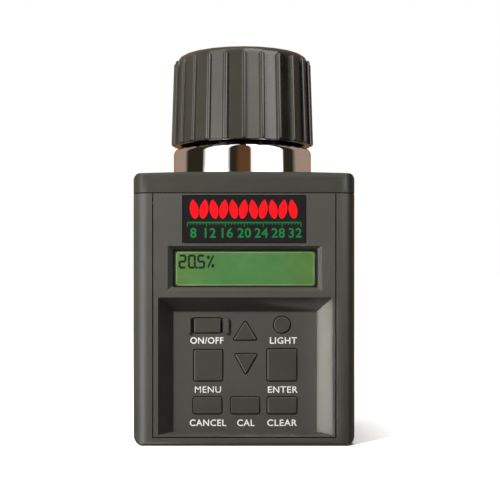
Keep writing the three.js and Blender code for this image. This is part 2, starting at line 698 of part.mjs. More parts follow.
for (let i = 0; i < 4; i++) add(`cell_screw_${i + 1}`, cellScrew(i), STEEL);

export default group;
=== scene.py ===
# Hand-held grain moisture meter: black moulded case, green display, nine keys in a
# sloped recess, and a chromed test cell closed by a ribbed screw cap with a press plate.
import math

import bmesh
import bpy
from mathutils import Matrix, Vector


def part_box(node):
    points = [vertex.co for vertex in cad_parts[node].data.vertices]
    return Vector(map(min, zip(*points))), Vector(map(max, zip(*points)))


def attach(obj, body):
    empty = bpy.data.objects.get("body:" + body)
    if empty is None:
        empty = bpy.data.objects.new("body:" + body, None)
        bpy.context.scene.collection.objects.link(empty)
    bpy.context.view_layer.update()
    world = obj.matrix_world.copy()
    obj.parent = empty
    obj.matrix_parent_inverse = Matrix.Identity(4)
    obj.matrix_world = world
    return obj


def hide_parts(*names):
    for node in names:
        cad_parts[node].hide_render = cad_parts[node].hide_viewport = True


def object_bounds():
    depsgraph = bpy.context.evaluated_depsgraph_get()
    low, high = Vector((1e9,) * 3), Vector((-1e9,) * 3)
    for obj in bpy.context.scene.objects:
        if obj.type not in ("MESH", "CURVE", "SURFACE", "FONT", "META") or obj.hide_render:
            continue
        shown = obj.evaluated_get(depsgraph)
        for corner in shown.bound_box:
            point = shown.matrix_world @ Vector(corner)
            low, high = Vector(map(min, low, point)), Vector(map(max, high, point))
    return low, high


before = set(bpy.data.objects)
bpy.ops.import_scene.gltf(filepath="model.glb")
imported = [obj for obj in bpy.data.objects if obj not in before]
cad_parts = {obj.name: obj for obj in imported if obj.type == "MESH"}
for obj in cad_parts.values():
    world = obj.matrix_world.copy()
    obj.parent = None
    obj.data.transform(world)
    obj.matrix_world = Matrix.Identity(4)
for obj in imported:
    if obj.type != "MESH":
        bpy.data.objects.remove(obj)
cad_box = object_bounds()


# ---- Case tub ----
# The deep black ABS moulding that wraps the sides, back and underside. It is injection
# moulded with a fine spark-eroded grain, and every sharp edge has a small moulded radius.
mm = 0.001


def blank_material(name, specular=0.5):
    """A new material, its nodes and links, its shader and the object's own coordinates."""
    made = bpy.data.materials.new(name)
    made.use_nodes = True
    nodes, links = made.node_tree.nodes, made.node_tree.links
    skin = nodes["Principled BSDF"]
    skin.inputs["Specular IOR Level"].default_value = specular
    return made, nodes, links, skin, nodes.new("ShaderNodeTexCoord").outputs["Object"]


def feed(links, socket, value):
    """Links a socket to another socket, or sets it to a plain value."""
    if isinstance(value, bpy.types.NodeSocket):
        links.new(value, socket)
    else:
        socket.default_value = value


def noise(nodes, links, where, scale, detail=2.0, rough=0.5):
    """Cloudy noise from 0 to 1."""
    node = nodes.new("ShaderNodeTexNoise")
    for name, value in (("Vector", where), ("Scale", scale), ("Detail", detail), ("Roughness", rough)):
        feed(links, node.inputs[name], value)
    return node.outputs["Fac"]


def ranged(nodes, links, value, low, high, start=0.0, stop=1.0):
    """A value between start and stop, spread between low and high."""
    node = nodes.new("ShaderNodeMapRange")
    for name, part in (("Value", value), ("From Min", start), ("From Max", stop), ("To Min", low),
                       ("To Max", high)):
        feed(links, node.inputs[name], part)
    return node.outputs["Result"]


def maths(nodes, links, operation, *values):
    """The result of one sum on sockets or plain numbers."""
    node = nodes.new("ShaderNodeMath")
    node.operation = operation
    for socket, value in zip(node.inputs, values):
        feed(links, socket, value)
    return node.outputs[0]


def scaled(nodes, links, vector, factor):
    """A vector or colour times one number."""
    node = nodes.new("ShaderNodeVectorMath")
    node.operation = "SCALE"
    links.new(vector, node.inputs[0])
    feed(links, node.inputs["Scale"], factor)
    return node.outputs[0]


def relief(nodes, links, skin, height, strength, depth):
    """Fine surface relief, fed to the shader's normal."""
    node = nodes.new("ShaderNodeBump")
    node.inputs["Strength"].default_value = strength
    node.inputs["Distance"].default_value = depth
    links.new(height, node.inputs["Height"])
    links.new(node.outputs["Normal"], skin.inputs["Normal"])


def new_group(name, inputs, outputs):
    """A shader node group, its nodes and links, and its input and output nodes."""
    group = bpy.data.node_groups.new(name, "ShaderNodeTree")
    for label, kind, default in inputs:
        made = group.interface.new_socket(name=label, in_out="INPUT", socket_type=kind)
        if default is not None:
            made.default_value = default
    for label, kind in outputs:
        group.interface.new_socket(name=label, in_out="OUTPUT", socket_type=kind)
    nodes = group.nodes
    return group, nodes, group.links, nodes.new("NodeGroupInput").outputs, nodes.new("NodeGroupOutput").inputs


def moulded_grain_group():
    """Grain height, mottled shade and uneven gloss of moulded plastic."""
    group, nodes, links, given, result = new_group(
        "Moulded grain",
        [("Vector", "NodeSocketVector", None), ("Colour", "NodeSocketColor", (0.05, 0.05, 0.05, 1)),
         ("Grain size", "NodeSocketFloat", 4000.0), ("Gloss", "NodeSocketFloat", 0.45),
         ("Mottle", "NodeSocketFloat", 0.1)],
        [("Colour", "NodeSocketColor"), ("Roughness", "NodeSocketFloat"), ("Height", "NodeSocketFloat")])
    where = given["Vector"]
    grain = nodes.new("ShaderNodeTexVoronoi")
    grain.feature = "SMOOTH_F1"
    links.new(where, grain.inputs["Vector"])
    links.new(given["Grain size"], grain.inputs["Scale"])
    fine = noise(nodes, links, where, given["Grain size"], 3)
    links.new(maths(nodes, links, "MULTIPLY_ADD", grain.outputs["Distance"], 0.7, fine), result["Height"])
    less = maths(nodes, links, "SUBTRACT", 1.0, given["Mottle"])
    more = maths(nodes, links, "ADD", 1.0, given["Mottle"])
    shade = ranged(nodes, links, noise(nodes, links, where, 55, 4), less, more, 0.3, 0.7)
    links.new(scaled(nodes, links, given["Colour"], shade), result["Colour"])
    smear = ranged(nodes, links, noise(nodes, links, where, 140, 5), -0.03, 0.03, 0.3, 0.7)
    links.new(maths(nodes, links, "ADD", given["Gloss"], smear), result["Roughness"])
    return group


def handling_dust_group():
    """Pale dust that settles in small patches, as a mask from 0 to 1."""
    group, nodes, links, given, result = new_group(
        "Handling dust", [("Vector", "NodeSocketVector", None), ("Amount", "NodeSocketFloat", 0.2)],
        [("Mask", "NodeSocketFloat")])
    cloud = noise(nodes, links, given["Vector"], 90, 8, 0.7)
    patches = ranged(nodes, links, cloud, 0.0, 1.0, 0.52, 0.85)
    links.new(maths(nodes, links, "MULTIPLY", patches, given["Amount"]), result["Mask"])
    return group


grain_group = moulded_grain_group()
dust_group = handling_dust_group()


def moulded_plastic(name, colour, gloss, grain_size=4200.0, bump=0.12, mottle=0.1, dust=0.12, specular=0.5):
    """Black or coloured moulded plastic with grain, mottle and a trace of dust."""
    made, nodes, links, skin, where = blank_material(name, specular)
    grain = nodes.new("ShaderNodeGroup")
    grain.node_tree = grain_group
    for label, value in (("Vector", where), ("Colour", (*colour, 1)), ("Grain size", grain_size),
                         ("Gloss", gloss), ("Mottle", mottle)):
        feed(links, grain.inputs[label], value)
    specks = nodes.new("ShaderNodeGroup")
    specks.node_tree = dust_group
    feed(links, specks.inputs["Vector"], where)
    feed(links, specks.inputs["Amount"], dust)
    mix = nodes.new("ShaderNodeMix")
    mix.data_type = "RGBA"
    links.new(specks.outputs["Mask"], mix.inputs["Factor"])
    links.new(grain.outputs["Colour"], mix.inputs["A"])
    mix.inputs["B"].default_value = (0.08, 0.075, 0.066, 1)
    links.new(mix.outputs["Result"], skin.inputs["Base Color"])
    links.new(grain.outputs["Roughness"], skin.inputs["Roughness"])
    relief(nodes, links, skin, grain.outputs["Height"], bump, 0.05 * mm)
    return made


def finish_piece(name, bm, material, body, stands_for=(), smooth=30):
    """Turns a bmesh into a finished piece that rides on its body and stands for its nodes."""
    for face in bm.faces:
        face.smooth = True
    for edge in bm.edges:
        edge.smooth = len(edge.link_faces) == 2 and edge.calc_face_angle(0) < math.radians(smooth)
    mesh = bpy.data.meshes.new(name)
    bm.to_mesh(mesh)
    bm.free()
    mesh.materials.append(material)
    piece = bpy.data.objects.new(name, mesh)
    bpy.context.scene.collection.objects.link(piece)
    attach(piece, body)
    if stands_for:
        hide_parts(*stands_for)
    return piece


def from_node(node):
    """The faces of a CAD node, its loose triangles merged into whole flats."""
    bm = bmesh.new()
    bm.from_mesh(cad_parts[node].data)
    bmesh.ops.remove_doubles(bm, verts=bm.verts, dist=3e-6)
    bmesh.ops.dissolve_limit(bm, angle_limit=math.radians(0.5), verts=bm.verts, edges=bm.edges)
    return bm


def ease_edges(piece, width):
    """A small moulded radius on every sharp edge, with flats kept flat."""
    bevel = piece.modifiers.new("eased edges", "BEVEL")
    bevel.width = width
    bevel.segments = 2
    bevel.limit_method = "ANGLE"
    bevel.angle_limit = math.radians(32)
    bevel.use_clamp_overlap = True
    bevel.miter_outer = "MITER_ARC"
    level = piece.modifiers.new("flat flats", "WEIGHTED_NORMAL")
    level.keep_sharp = True
    return piece


case_black = moulded_plastic("case_black", (0.0262, 0.0255, 0.0222), 0.40, mottle=0.05, dust=0.02)
case = finish_piece("case_shell", from_node("case_tub"), case_black, "meter", ["case_tub"])
ease_edges(case, 0.18 * mm)


# ---- Front panel ----
# A separate black moulding that drops into the case's window, with the display opening and
# the deep keypad recess whose side and top walls slope in to a flat floor.
panel_black = moulded_plastic("panel_black", (0.0262, 0.0256, 0.0226), 0.42, mottle=0.05, dust=0.02)
panel = finish_piece("front_panel_moulding", from_node("front_panel"), panel_black, "meter",
                     ["front_panel"])
ease_edges(panel, 0.16 * mm)


# ---- Top cover ----
# The shallow crowned lid of the case, the same plastic, split from the case by a fine seam
# and bored for the neck of the test cell. Its colour is the case plastic darkened to about
# half, painted shade that makes the lid look darker than the case.
cover_black_painted_shade = moulded_plastic("cover_black_painted_shade", (0.0140, 0.0143, 0.0112), 0.42, dust=0.03)
cover = finish_piece("top_cover_moulding", from_node("top_cover"), cover_black_painted_shade, "meter",
                     ["top_cover"])
ease_edges(cover, 0.2 * mm)


# ---- Name label ----
# A printed film stuck in a shallow tray: black ground, a red frieze of grain kernels over a
# green numbered scale. Screen printed, semi-gloss.
label_black = moulded_plastic("label_black", (0.0022, 0.0015, 0.0022), 0.45, 2500, 0.03, 0.06, 0.01, 0.25)
finish_piece("label_film", from_node("name_label"), label_black, "meter", ["name_label"])
label_lo, label_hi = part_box("name_label")
label_face = label_lo.y
label_mid = (label_lo.x + label_hi.x) / 2
label_top = label_hi.z


def two_tone(nodes, links, value, dark_at, dark, light_at, light):
    """Two colours blended over a value."""
    node = nodes.new("ShaderNodeValToRGB")
    for stop, at, colour in zip(node.color_ramp.elements, (dark_at, light_at), (dark, light)):
        stop.position = at
        stop.color = (*colour, 1)
    links.new(value, node.inputs["Fac"])
    return node.outputs["Color"]


def printed_ink(name, colour, gloss=0.4):
    """Screen-printed ink: solid colour with the slight unevenness of a printed film."""
    made, nodes, links, skin, where = blank_material(name, 0.3)
    blot = noise(nodes, links, where, 900, 4)
    thin = [part * 0.86 for part in colour]
    links.new(two_tone(nodes, links, blot, 0.3, thin, 0.62, colour), skin.inputs["Base Color"])
    links.new(ranged(nodes, links, blot, gloss - 0.06, gloss + 0.08), skin.inputs["Roughness"])
    return made


ink_red = printed_ink("ink_red", (0.43, 0.0032, 0.0055))
ink_green = printed_ink("ink_green", (0.0042, 0.078, 0.0175))
ink_white = printed_ink("ink_white", (0.42, 0.42, 0.40), 0.5)


def thin_plate(bm, centre_x, centre_z, width, height, face_y, thick=0.03 * mm):
    """A printed bar lying on a surface that faces -Y."""
    made = bmesh.ops.create_cube(bm, size=1)
    bmesh.ops.scale(bm, vec=(width, thick, height), verts=made["verts"])
    bmesh.ops.translate(bm, vec=(centre_x, face_y - thick / 2, centre_z), verts=made["verts"])
    return made["verts"]


def kernel(bm, x, z, width, height, lean, face_y):
    """One grain kernel: a disc drawn out to a point at the top, then thickened."""
    disc = bmesh.ops.create_circle(bm, cap_ends=True, segments=20, radius=0.5)["verts"]
    for v in disc:
        point = max(0.0, v.co.y) * 2
        v.co.x *= 1 - 0.55 * point * point
    bmesh.ops.scale(bm, vec=(width, height, 1), verts=disc)
    bmesh.ops.rotate(bm, verts=disc, matrix=Matrix.Rotation(lean, 3, "Z"))
    bmesh.ops.rotate(bm, verts=disc, matrix=Matrix.Rotation(math.radians(90), 3, "X"))
    bmesh.ops.translate(bm, vec=(x, face_y - 0.02 * mm, z), verts=disc)
    skin = bmesh.ops.extrude_face_region(bm, geom=[f for f in disc[0].link_faces if len(f.verts) == 20])
    moved = [g for g in skin["geom"] if isinstance(g, bmesh.types.BMVert)]
    bmesh.ops.translate(bm, vec=(0, -0.02 * mm, 0), verts=moved)


frieze = bmesh.new()
kernel_count, kernel_pitch = 11, 3.72 * mm
for i in range(kernel_count):
    x = label_mid - 0.3 * mm + (i - kernel_count // 2) * kernel_pitch
    kernel(frieze, x, label_top - 5.05 * mm, 3.3 * mm, 7.3 * mm, math.radians(-9 if i % 2 else 9), label_face)
bmesh.ops.recalc_face_normals(frieze, faces=frieze.faces)
finish_piece("label_kernels", frieze, ink_red, "meter")

scale = bmesh.new()
rule_drop, tick_count, tick_pitch = 10.1, 37, 1.19 * mm
thin_plate(scale, label_mid, label_top - rule_drop * mm, 43.2 * mm, 0.5 * mm, label_face)
for i in range(tick_count):
    tick = 1.5 if i % 6 == 0 else 0.8
    x = label_mid + (i - tick_count // 2) * tick_pitch
    thin_plate(scale, x, label_top - (rule_drop + tick / 2) * mm, 0.34 * mm, tick * mm, label_face)
finish_piece("label_scale", scale, ink_green, "meter")


def lettering(name, words, size, x, z, face_y, material, width=None, weight=0.02):
    """Plain bold sans lettering as a thin printed mesh centred on (x, z), facing -Y."""
    curve = bpy.data.curves.new(name, "FONT")
    curve.body = words
    curve.align_x = "CENTER"
    curve.align_y = "CENTER"
    curve.size = size
    curve.offset = weight * size
    curve.space_character = 1.08
    curve.extrude = 0.012 * mm
    curve.resolution_u = 4
    drawn = bpy.data.objects.new(name + "_drawn", curve)
    bpy.context.scene.collection.objects.link(drawn)
    bpy.context.view_layer.update()
    mesh = bpy.data.meshes.new_from_object(drawn.evaluated_get(bpy.context.evaluated_depsgraph_get()))
    bpy.data.objects.remove(drawn)
    low = Vector(map(min, *[v.co for v in mesh.vertices]))
    high = Vector(map(max, *[v.co for v in mesh.vertices]))
    middle = (low + high) / 2
    stretch = width / (high.x - low.x) if width else 1
    mesh.transform(Matrix.Translation(-middle))
    mesh.transform(Matrix.Diagonal((stretch, 1, 1, 1)))
    mesh.transform(Matrix.Rotation(math.radians(90), 4, "X"))
    mesh.transform(Matrix.Translation((x, face_y - 0.014 * mm, z)))
    mesh.name = name
    mesh.materials.clear()
    mesh.materials.append(material)
    piece = bpy.data.objects.new(name, mesh)
    bpy.context.scene.collection.objects.link(piece)
    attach(piece, "meter")


for i, number in enumerate(("8", "12", "16", "20", "24", "28", "32")):
    x = label_mid + (i - 3) * 6.4 * mm
    lettering("label_number_" + number, number, 5.0 * mm, x, label_top - 14.0 * mm, label_face, ink_green)


# ---- Display ----
# A clear window over a green backlit glass in a tin frame. The reading is drawn in straight
# dark segments, as a segment display does.
def backlit_glass():
    """Green display glass, yellower towards its edges, with fine cells and a soft glow."""
    made, nodes, links, skin, where = blank_material("lcd_green", 0.3)
    skin.inputs["Emission Strength"].default_value = 0.50
    centre = nodes.new("ShaderNodeMapping")
    centre.inputs["Location"].default_value = (0.0, 0.0, -1.12)
    centre.inputs["Scale"].default_value = (21.0, 1.0, 16.7)
    links.new(where, centre.inputs["Vector"])
    glow = nodes.new("ShaderNodeTexGradient")
    glow.gradient_type = "QUADRATIC_SPHERE"
    links.new(centre.outputs["Vector"], glow.inputs["Vector"])
    cells = noise(nodes, links, where, 2600)
    green = two_tone(nodes, links, glow.outputs["Fac"], 0.0, (0.135, 0.245, 0.05), 0.55, (0.085, 0.245, 0.07))
    shade = scaled(nodes, links, green, ranged(nodes, links, cells, 0.93, 1.07))
    links.new(scaled(nodes, links, shade, 0.30), skin.inputs["Base Color"])
    links.new(shade, skin.inputs["Emission Color"])
    links.new(ranged(nodes, links, cells, 0.3, 0.42), skin.inputs["Roughness"])
    return made


finish_piece("display_glass", from_node("lcd_glass"), backlit_glass(), "meter", ["lcd_glass"])
glass_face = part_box("lcd_glass")[0].y
window_lo, window_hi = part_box("lcd_lens")


def clear_window():
    """Polished clear plastic: nearly all see-through, with faint finger smears."""
    made, nodes, links, skin, where = blank_material("clear_window")
    skin.inputs["Base Color"].default_value = (0.02, 0.026, 0.018, 1)
    smear = noise(nodes, links, where, 160, 5)
    for name, least, most in (("Roughness", 0.05, 0.2), ("Alpha", 0.10, 0.16)):
        links.new(ranged(nodes, links, smear, least, most, 0.35, 0.75), skin.inputs[name])
    return made


lens = finish_piece("display_window", from_node("lcd_lens"), clear_window(), "meter",
                    ["lcd_lens"])
ease_edges(lens, 0.2 * mm)


def glass_border(name, left, right, bottom, top, line, face, material):
    """Four thin lines of flat colour that frame the display glass, set in from the window's edges by the
    margins given; a negative margin sets them out beyond the edges.
    """
    bm = bmesh.new()
    x0, x1 = window_lo.x + left * mm, window_hi.x - right * mm
    z0, z1 = window_lo.z + bottom * mm, window_hi.z - top * mm
    for z in (z0 + line / 2 * mm, z1 - line / 2 * mm):
        thin_plate(bm, (x0 + x1) / 2, z, x1 - x0, line * mm, face, 0.02 * mm)
    for x in (x0 + line / 2 * mm, x1 - line / 2 * mm):
        thin_plate(bm, x, (z0 + z1) / 2, line * mm, z1 - z0, face, 0.02 * mm)
    finish_piece(name, bm, material, "meter")


# painted highlight: the pale green line round the glass stands in for the lit edge of the clear window
edge_highlight_green = moulded_plastic("window_edge_highlight", (0.12, 0.19, 0.075), 0.35, 3000, 0.02, 0.05, 0.0)
# painted shade: a black frame round the glass stands in for the shade under the sloped walls of the display
# opening
painted_shade_black = printed_ink("painted_shade_black", (0.006, 0.006, 0.004), 0.5)
glass_border("display_painted_edge_highlight", 0.8, 0.8, 0.3, 0.55, 0.5, glass_face - 0.01 * mm, edge_highlight_green)
glass_border("display_painted_shade_frame", -0.75, -0.75, -1.2, -0.95, 1.5, glass_face - 0.04 * mm, painted_shade_black)

segment_black = printed_ink("segment_black", (0.001, 0.002, 0.001), 0.6)
# where each segment sits in its cell, sideways and upwards, and whether it lies flat
strokes = {
    "a": (0, 1, True), "b": (0.5, 0.5, False), "c": (0.5, -0.5, False), "d": (0, -1, True),
    "e": (-0.5, -0.5, False), "f": (-0.5, 0.5, False), "g": (0, 0, True),
}
figures = {"0": "abcdef", "2": "abged", "5": "afgcd"}
reading = bmesh.new()
cell_w, cell_h, pen, pitch = 2.2 * mm, 4.55 * mm, 0.86 * mm, 3.56 * mm
first_x, mid_z = -23.4 * mm, 69.5 * mm
reading_y = glass_face - 0.01 * mm
for place, figure in enumerate("205"):
    cx = first_x + place * pitch
    for name in figures[figure]:
        sx, sz, flat = strokes[name]
        width = (cell_w - 0.1 * mm) if flat else pen
        height = pen if flat else (cell_h / 2 - 0.1 * mm)
        thin_plate(reading, cx + sx * cell_w, mid_z + sz * cell_h / 2, width, height, reading_y, 0.02 * mm)
thin_plate(reading, first_x + 1.5 * pitch, mid_z - cell_h / 2, pen, pen, reading_y, 0.02 * mm)
percent_x = first_x + 3 * pitch
for sx, sz in ((-0.85, 1.6), (0.85, -1.6)):
    thin_plate(reading, percent_x + sx * mm, mid_z + sz * mm, 1.05 * mm, 1.25 * mm, reading_y, 0.02 * mm)
slash = thin_plate(reading, percent_x, mid_z, 0.68 * mm, 5.0 * mm, reading_y, 0.02 * mm)
slant = Matrix.Rotation(math.radians(24), 3, "Y")
bmesh.ops.rotate(reading, verts=slash, cent=(percent_x, 0, mid_z), matrix=slant)
finish_piece("display_reading", reading, segment_black, "meter")


# ---- Keys ----
# Nine hard key caps of one black plastic, each a loose plunger in its own hole in the recess
# floor, with flat tops and lightly rounded edges. They spring back off a rubber dome sheet.
key_black = moulded_plastic("key_black", (0.0215, 0.0205, 0.0168), 0.38, 5200, 0.08, 0.08, 0.02)
for word in ("on_off", "light", "up", "down", "menu", "enter", "cancel", "cal", "clear"):
    node = "key_" + word
    cap_piece = finish_piece(node + "_cap", from_node(node), key_black, node + "_body", [node])
    ease_edges(cap_piece, 0.14 * mm)


# ---- Key legends ----
# Plain white function words in a rounded sans letter, screen printed in a thin even ink
# film straight on the recess floor, each word under its key.
recess_depth = 8 * mm
floor_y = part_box("front_panel")[0].y + recess_depth
thin_stroke, bold_stroke = 0.003, 0.014  # an M fills in at the bolder one
for words, x, z, width in (
    ("ON/OFF", -14.2, 39.2, 12.7), ("LIGHT", 15.2, 39.2, 10.4),
    ("MENU", -13.8, 20.35, 10.0), ("ENTER", 14.95, 20.35, 11.5),
    ("CANCEL", -13.8, 7.6, 14.0), ("CAL", 0.75, 7.6, 6.7), ("CLEAR", 14.7, 7.6, 11.5),
):
    name = "legend_" + words.replace("/", "_").lower()
    weight = thin_stroke if "M" in words else bold_stroke
    lettering(name, words, 3.5 * mm, x * mm, z * mm, floor_y, ink_white, width * mm, weight)


# ---- Test cell ----
# One turned and chromed cup: a polished neck above the cover, a threaded collar for the cap,
# the grain bore inside, and a flange that is screwed up under the cover.
def polished_metal(name, colour, gloss, stretch, scratch=0.02, bump=0.03, metal=1.0):
    """Turned or plated metal, with fine tool marks drawn out along one direction."""
    made, nodes, links, skin, where = blank_material(name)
    skin.inputs["Metallic"].default_value = metal
    drawn = nodes.new("ShaderNodeMapping")
    drawn.inputs["Scale"].default_value = stretch
    links.new(where, drawn.inputs["Vector"])
    marks = noise(nodes, links, drawn.outputs["Vector"], 1.0, 6, 0.65)
    worn = [part * 0.93 for part in colour]
    links.new(two_tone(nodes, links, marks, 0.25, worn, 0.75, colour), skin.inputs["Base Color"])
    finish = ranged(nodes, links, marks, max(0.0, gloss - scratch), gloss + scratch)
    links.new(finish, skin.inputs["Roughness"])
    relief(nodes, links, skin, marks, bump, 0.02 * mm)
    return made


def spun(bm, profile, steps, centre):
    """Turns a closed outline of [radius, height] points in millimetres about an upright axis."""
    verts = [bm.verts.new((centre.x + r * mm, centre.y, z * mm)) for r, z in profile]
    edges = [bm.edges.new((verts[i], verts[(i + 1) % len(verts)])) for i in range(len(verts))]
    bmesh.ops.spin(bm, geom=verts + edges, cent=centre, axis=(0, 0, 1), angle=math.tau, steps=steps,
                   use_merge=True)
    bmesh.ops.remove_doubles(bm, verts=bm.verts, dist=2e-7)


def coil_ridge(bm, centre, outline, start, sweep):
    """A thread ridge: its section screwed round the axis, then closed at both ends."""
    verts = [bm.verts.new((centre.x + r * mm, centre.y, z * mm)) for r, z in outline]
    section = bm.faces.new(verts)
    turn = Matrix.Rotation(math.radians(start), 3, "Z")
    bmesh.ops.rotate(bm, verts=verts, cent=centre, matrix=turn)
    steps = sweep // 3  # three degrees each
    rise = thread_lead * sweep / 360 / steps
    bmesh.ops.spin(bm, geom=[section], cent=centre, axis=(0, 0, 1), dvec=(0, 0, rise),
                   angle=math.radians(sweep), steps=steps)


thread_lead = 24 * mm
cell_lo, cell_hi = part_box("test_cell")
axis_at = Vector(((cell_lo.x + cell_hi.x) / 2, (cell_lo.y + cell_hi.y) / 2, 0))
cell_foot = cell_lo.z / mm
collar_top = cell_hi.z / mm
neck_r, neck_top = 28.2, 115.6
shoulder = [(neck_r - inset, neck_top - drop) for inset, drop in (
    (0, 2.4), (0.1, 1.8), (0.32, 1.2), (0.75, 0.62), (1.3, 0.22), (1.9, 0.03), (2.3, 0))]
cup = bmesh.new()
spun(cup, [(19, cell_foot), (24.5, cell_foot), (24.5, 96), (31.1, 96), (31.2, 96.1), (31.2, 97.9), (31.1, 98),
           (27.6, 98), (27.6, 100), (neck_r, 100.4), *shoulder, (24.05, neck_top), (24, neck_top + 0.1),
           (24, collar_top - 0.8), (23.4, collar_top), (22.9, collar_top), (22.5, collar_top - 0.5),
           (22.5, cell_foot + 2), (19, cell_foot + 2)], 144, axis_at)
bmesh.ops.recalc_face_normals(cup, faces=cup.faces)
for start in range(0, 360, 90):
    coil_ridge(cup, axis_at, [(23.8, 118.2), (24.9, 118.9), (24.9, 119.9), (23.8, 120.6)], start, 252)
bmesh.ops.remove_doubles(cup, verts=cup.verts, dist=2e-7)
bmesh.ops.recalc_face_normals(cup, faces=cup.faces)
chrome = polished_metal("cell_chrome", (0.90, 0.885, 0.865), 0.035, (60, 60, 2600), 0.02, 0.02)
finish_piece("test_cell_cup", cup, chrome, "meter", ["test_cell"], smooth=40)


# ---- Screw cap ----
# A thick-walled black moulding with twenty-four flat panels between raised grip ribs, a
# rounded crown, and a coarse four-start thread inside.
cap_black = moulded_plastic("cap_black", (0.018, 0.0168, 0.0132), 0.21, 2600, 0.03, 0.1, 0.012, 0.62)
cap_foot, cap_top = 117.0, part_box("cap")[1].z / mm
foot_r, crown_r, crown = 27.9, 26.8, 3.0
rib_count = 24
cap = bmesh.new()
rim_profile = [(foot_r - 0.3, cap_foot), (foot_r, cap_foot + 0.3)]
for i in range(9):
    t = math.pi / 2 * i / 8
    rim_profile.append((crown_r - crown + crown * math.cos(t), cap_top - crown + crown * math.sin(t)))
rim_profile += [(8.8, cap_top), (8.6, cap_top - 0.2), (8.6, cap_top - 1.2), (5.9, cap_top - 1.2),
                (5.9, cap_top - 3), (21.9, cap_top - 3), (25.4, cap_top - 7), (25.4, cap_foot + 0.4),
                (25.8, cap_foot)]
spun(cap, rim_profile, rib_count, axis_at)
turn = Matrix.Rotation(math.radians(90), 3, "Z")
bmesh.ops.rotate(cap, verts=cap.verts, cent=axis_at, matrix=turn)
bmesh.ops.recalc_face_normals(cap, faces=cap.faces)
rib_w, rib_h = 2.15 * mm, 1.3 * mm
lean = math.atan2(foot_r - crown_r, cap_top - 3 - cap_foot)
rib_length = (cap_top - 2.4 - cap_foot) * mm
middle_r = (foot_r + crown_r) / 2 * mm
for k in range(rib_count):
    made = bmesh.ops.create_cube(cap, size=1)["verts"]
    bmesh.ops.scale(cap, vec=(rib_w, 2 * rib_h, rib_length), verts=made)
    corners = [e for e in {e for v in made for e in v.link_edges}
               if all(v.co.z > 0 for v in e.verts) and abs(e.verts[0].co.y - e.verts[1].co.y) > rib_h]
    round_top = bmesh.ops.bevel(cap, geom=corners, offset=rib_w * 0.49, affect="EDGES", segments=5,
                                profile=0.5, material=-1)
    bar = {v for v in made if v.is_valid} | set(round_top["verts"])
    outer = [e for e in {e for v in bar for e in v.link_edges} if all(v.co.y < -0.9 * rib_h for v in e.verts)
             and e.calc_face_angle(0) > 0.6]
    eased = bmesh.ops.bevel(cap, geom=outer, offset=0.98 * mm, affect="EDGES", segments=8, profile=0.5,
                            material=-1)
    bar = list({v for v in bar if v.is_valid} | set(eased["verts"]))
    bmesh.ops.rotate(cap, verts=bar, matrix=Matrix.Rotation(-lean, 3, "X"))
    bmesh.ops.translate(cap, vec=(axis_at.x, axis_at.y - middle_r, cap_foot * mm + rib_length / 2), verts=bar)
    bmesh.ops.rotate(cap, verts=bar, cent=axis_at, matrix=Matrix.Rotation(math.tau * k / rib_count, 3, "Z"))
for start in range(0, 360, 90):
    coil_ridge(cap, axis_at, [(25.7, 121.4), (24.6, 121.95), (24.6, 122.85), (25.7, 123.4)], start, 84)
bmesh.ops.recalc_face_normals(cap, faces=cap.faces)
finish_piece("screw_cap", cap, cap_black, "cap_shell", ["cap"], smooth=12)


# ---- Press: bush, indicator pin, plate and spring ----
# A flanged black bush runs in the cap's crown. The turned brass pin slides in it and shows
# the packing of the grain; the steel plate below presses on the sample through a coil spring.
def hung(profile):
    """Outline points given by their drop below the cap's top."""
    return [(r, cap_top - drop) for r, drop in profile]


bush = bmesh.new()
spun(bush, hung([(2.9, 14), (5.5, 14), (5.5, 0.9), (8.1, 0.9), (8.2, 0.8), (8.2, 0.25), (8.05, 0.1),
                 (4.5, 0.1), (4.3, 0.3), (4.3, 5.6), (2.9, 5.6)]), 64, axis_at)
bmesh.ops.recalc_face_normals(bush, faces=bush.faces)
bush_black = moulded_plastic("bush_black", (0.02, 0.02, 0.02), 0.3, 3500, 0.06, 0.08, 0.03)
finish_piece("press_bush", bush, bush_black, "cap_carrier", ["plunger_bush"])

brass = polished_metal("turned_brass", (0.72, 0.50, 0.20), 0.2, (90, 90, 3500), 0.06, 0.06)
pin = bmesh.new()
spun(pin, hung([(0, 22), (2.6, 22), (2.6, 5.3), (3.9, 5.3), (4, 5.2), (4, 3.4), (3.6, 3), (2.6, 3),
                (2.5, 3.1), (1.6, 3.1), (1.5, 3), (0, 3)]), 48, axis_at)
bmesh.ops.recalc_face_normals(pin, faces=pin.faces)
finish_piece("press_pin", pin, brass, "pressing_plate", ["indicator_pin"])

steel = polished_metal("bright_steel", (0.62, 0.62, 0.61), 0.24, (120, 120, 3000), 0.06, 0.06)
plate = bmesh.new()
spun(plate, hung([(2, 26), (20.8, 26), (21.35, 25.85), (21.7, 25.5), (21.8, 25.1), (21.8, 24.2), (21.6, 23.7),
                  (21.1, 23.5), (5.5, 23.5), (5.4, 23.4), (5.4, 22.4), (5.3, 22.3), (2, 22.3)]), 96, axis_at)
bmesh.ops.recalc_face_normals(plate, faces=plate.faces)
finish_piece("press_plate_disc", plate, steel, "pressing_plate", ["pressure_plate"])

